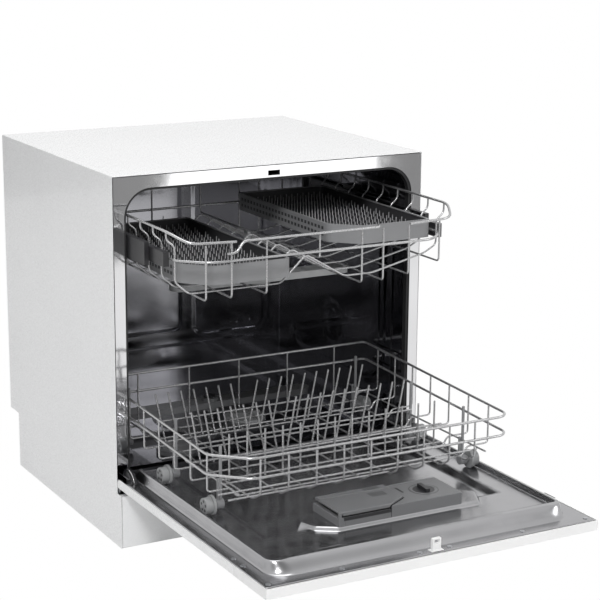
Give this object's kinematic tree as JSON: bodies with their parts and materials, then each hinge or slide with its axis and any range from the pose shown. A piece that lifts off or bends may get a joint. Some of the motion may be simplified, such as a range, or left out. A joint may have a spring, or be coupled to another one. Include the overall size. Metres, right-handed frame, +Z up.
{
  "type": "tabletop dishwasher",
  "caption": "Free-standing tabletop dishwasher with a drop-down door, a wheeled plate basket and a sliding cup basket with fold-flat trays, shown open.",
  "frame": {"origin": "bottom centre of the box around the open machine, on the worktop under the feet", "axes": "+Z up, +X to the right seen from the front, +Y from the open door to the back of the case"},
  "size_m": [0.55, 0.977, 0.595],
  "materials": {
    "case_white": "smooth gloss white enamel",
    "stainless": "bright rolled stainless sheet",
    "zinc_steel": "zinc-plated steel, satin",
    "spring_steel": "oiled spring wire",
    "basket_wire": "mid-grey nylon-coated wire, satin",
    "grey_plastic": "moulded mid-grey polypropylene",
    "dark_plastic": "moulded dark grey, fine texture",
    "black_plastic": "moulded black",
    "white_plastic": "moulded white, gloss",
    "service_plastic": "natural polypropylene",
    "board_green": "circuit board laminate",
    "rubber_black": "black seal rubber",
    "rubber_grey": "grey hose rubber",
    "filter_steel": "perforated stainless"
  },
  "bodies": {
    "cabinet": {"left_side_panel": "case_white", "right_side_panel": "case_white", "top_panel": "case_white", "rear_panel": "zinc_steel", "base_tray": "service_plastic", "kick_plate": "case_white", "feet": "black_plastic", "tub": "stainless", "door_gasket": "rubber_black", "door_lock": "black_plastic", "hinge_brackets": "zinc_steel", "door_springs": "spring_steel", "rail_guides": "black_plastic", "sump": "black_plastic", "fine_filter": "filter_steel", "water_softener": "service_plastic", "circulation_pump": "black_plastic", "wash_heater": "zinc_steel", "drain_pump": "black_plastic", "air_break": "service_plastic", "inlet_valve": "white_plastic", "drain_spigot": "black_plastic", "cord_gland": "black_plastic", "hoses": "rubber_grey", "feed_pipe": "service_plastic"},
    "door": {"door_panel": "case_white", "control_panel": "white_plastic", "control_board": "board_green", "inner_panel": "stainless", "striker": "white_plastic", "door_screws": "zinc_steel", "hinge_levers": "zinc_steel", "dispenser_body": "dark_plastic"},
    "lower_rack": {"lower_basket": "basket_wire", "wheel_carriers": "grey_plastic"},
    "upper_rack": {"upper_basket": "basket_wire", "left_tray": "grey_plastic", "right_tray": "grey_plastic", "roller_holders": "grey_plastic", "spray_manifold": "grey_plastic"},
    "latch_hook": {"latch_hook": "zinc_steel"},
    "lower_spray_arm": {"lower_spray_arm": "grey_plastic"},
    "filter_cup": {"filter_cup": "grey_plastic"},
    "salt_cap": {"salt_cap": "dark_plastic"},
    "dispenser_lid": {"dispenser_lid": "dark_plastic"},
    "rinse_cap": {"rinse_cap": "dark_plastic"},
    "power_button": {"power_button": "white_plastic"},
    "program_button": {"program_button": "white_plastic"},
    "start_button": {"start_button": "white_plastic"},
    "upper_spray_arm": {"upper_spray_arm": "grey_plastic"},
    "left_rail": {"left_rail": "zinc_steel"},
    "right_rail": {"right_rail": "zinc_steel"},
    "left_roller": {"left_roller": "grey_plastic"},
    "right_roller": {"right_roller": "grey_plastic"},
    "left_wheel_1": {"left_wheel_1": "grey_plastic"},
    "left_wheel_2": {"left_wheel_2": "grey_plastic"},
    "left_wheel_3": {"left_wheel_3": "grey_plastic"},
    "right_wheel_1": {"right_wheel_1": "grey_plastic"},
    "right_wheel_2": {"right_wheel_2": "grey_plastic"},
    "right_wheel_3": {"right_wheel_3": "grey_plastic"}
  },
  "joints": [
    {"name": "door_hinge", "type": "hinge", "parent": "cabinet", "child": "door", "pos_m": [0, -0.0055, 0.111], "axis": [1, 0, 0], "range_deg": [0, 3]},
    {"name": "latch_hook_pivot", "type": "hinge", "parent": "cabinet", "child": "latch_hook", "pos_m": [0, 0.0335, 0.588], "axis": [-1, 0, 0], "range_deg": [0, 6], "stiffness_Nm_per_rad": 0.02},
    {"name": "lower_spray_arm_spin", "type": "hinge", "parent": "cabinet", "child": "lower_spray_arm", "pos_m": [0, 0.2435, 0.135], "axis": [0, 0, 1], "continuous": true},
    {"name": "upper_spray_arm_spin", "type": "hinge", "parent": "upper_rack", "child": "upper_spray_arm", "pos_m": [0, 0.0535, 0.398], "axis": [0, 0, 1], "continuous": true},
    {"name": "filter_cup_turn", "type": "hinge", "parent": "cabinet", "child": "filter_cup", "pos_m": [0.052, 0.2095, 0.11], "axis": [0, 0, 1], "range_deg": [0, 60]},
    {"name": "salt_cap_turn", "type": "hinge", "parent": "cabinet", "child": "salt_cap", "pos_m": [-0.13, 0.1005, 0.118], "axis": [0, 0, 1], "range_deg": [0, 180]},
    {"name": "dispenser_lid_hinge", "type": "hinge", "parent": "door", "child": "dispenser_lid", "pos_m": [-0.092, -0.3295, 0.1539], "axis": [0, -1, 0], "range_deg": [0, 110]},
    {"name": "rinse_cap_turn", "type": "hinge", "parent": "door", "child": "rinse_cap", "pos_m": [0.072, -0.3305, 0.14], "axis": [0, 0, 1], "range_deg": [0, 90]},
    {"name": "power_button_press", "type": "slide", "parent": "door", "child": "power_button", "axis": [0, 0, 1], "range_m": [0, 0.0015], "stiffness_N_per_m": 500},
    {"name": "program_button_press", "type": "slide", "parent": "door", "child": "program_button", "axis": [0, 0, 1], "range_m": [0, 0.0015], "stiffness_N_per_m": 500},
    {"name": "start_button_press", "type": "slide", "parent": "door", "child": "start_button", "axis": [0, 0, 1], "range_m": [0, 0.0015], "stiffness_N_per_m": 500},
    {"name": "lower_basket_slide", "type": "slide", "parent": "cabinet", "child": "lower_rack", "axis": [0, 1, 0], "range_m": [-0.06, 0.325]},
    {"name": "upper_basket_slide", "type": "slide", "parent": "cabinet", "child": "upper_rack", "axis": [0, 1, 0], "range_m": [-0.06, 0.194]},
    {"name": "left_wheel_1_roll", "type": "hinge", "parent": "lower_rack", "child": "left_wheel_1", "pos_m": [-0.226, -0.2235, 0.1438], "axis": [1, 0, 0], "range_deg": [-1290, 240]},
    {"name": "left_wheel_2_roll", "type": "hinge", "parent": "lower_rack", "child": "left_wheel_2", "pos_m": [-0.226, -0.0715, 0.1438], "axis": [1, 0, 0], "range_deg": [-1290, 240]},
    {"name": "left_wheel_3_roll", "type": "hinge", "parent": "lower_rack", "child": "left_wheel_3", "pos_m": [-0.226, 0.1055, 0.1438], "axis": [1, 0, 0], "range_deg": [-1290, 240]},
    {"name": "right_wheel_1_roll", "type": "hinge", "parent": "lower_rack", "child": "right_wheel_1", "pos_m": [0.226, -0.2235, 0.1438], "axis": [1, 0, 0], "range_deg": [-1290, 240]},
    {"name": "right_wheel_2_roll", "type": "hinge", "parent": "lower_rack", "child": "right_wheel_2", "pos_m": [0.226, -0.0715, 0.1438], "axis": [1, 0, 0], "range_deg": [-1290, 240]},
    {"name": "right_wheel_3_roll", "type": "hinge", "parent": "lower_rack", "child": "right_wheel_3", "pos_m": [0.226, 0.1055, 0.1438], "axis": [1, 0, 0], "range_deg": [-1290, 240]},
    {"name": "left_rail_slide", "type": "slide", "parent": "cabinet", "child": "left_rail", "axis": [0, 1, 0], "range_m": [-0.031, 0.098]},
    {"name": "left_roller_roll", "type": "hinge", "parent": "upper_rack", "child": "left_roller", "pos_m": [-0.2467, 0.0035, 0.487], "axis": [1, 0, 0], "range_deg": [-350, 110]},
    {"name": "right_rail_slide", "type": "slide", "parent": "cabinet", "child": "right_rail", "axis": [0, 1, 0], "range_m": [-0.031, 0.098]},
    {"name": "right_roller_roll", "type": "hinge", "parent": "upper_rack", "child": "right_roller", "pos_m": [0.2467, 0.0035, 0.487], "axis": [1, 0, 0], "range_deg": [-350, 110]}
  ],
  "couplings": [
    {"joint": "left_wheel_1_roll", "follows": "lower_basket_slide", "rad_per_m": -68.966},
    {"joint": "left_wheel_2_roll", "follows": "lower_basket_slide", "rad_per_m": -68.966},
    {"joint": "left_wheel_3_roll", "follows": "lower_basket_slide", "rad_per_m": -68.966},
    {"joint": "right_wheel_1_roll", "follows": "lower_basket_slide", "rad_per_m": -68.966},
    {"joint": "right_wheel_2_roll", "follows": "lower_basket_slide", "rad_per_m": -68.966},
    {"joint": "right_wheel_3_roll", "follows": "lower_basket_slide", "rad_per_m": -68.966},
    {"joint": "left_rail_slide", "follows": "upper_basket_slide", "ratio": 0.5},
    {"joint": "left_roller_roll", "follows": "upper_basket_slide", "rad_per_m": -31.153},
    {"joint": "right_rail_slide", "follows": "upper_basket_slide", "ratio": 0.5},
    {"joint": "right_roller_roll", "follows": "upper_basket_slide", "rad_per_m": -31.153}
  ]
}
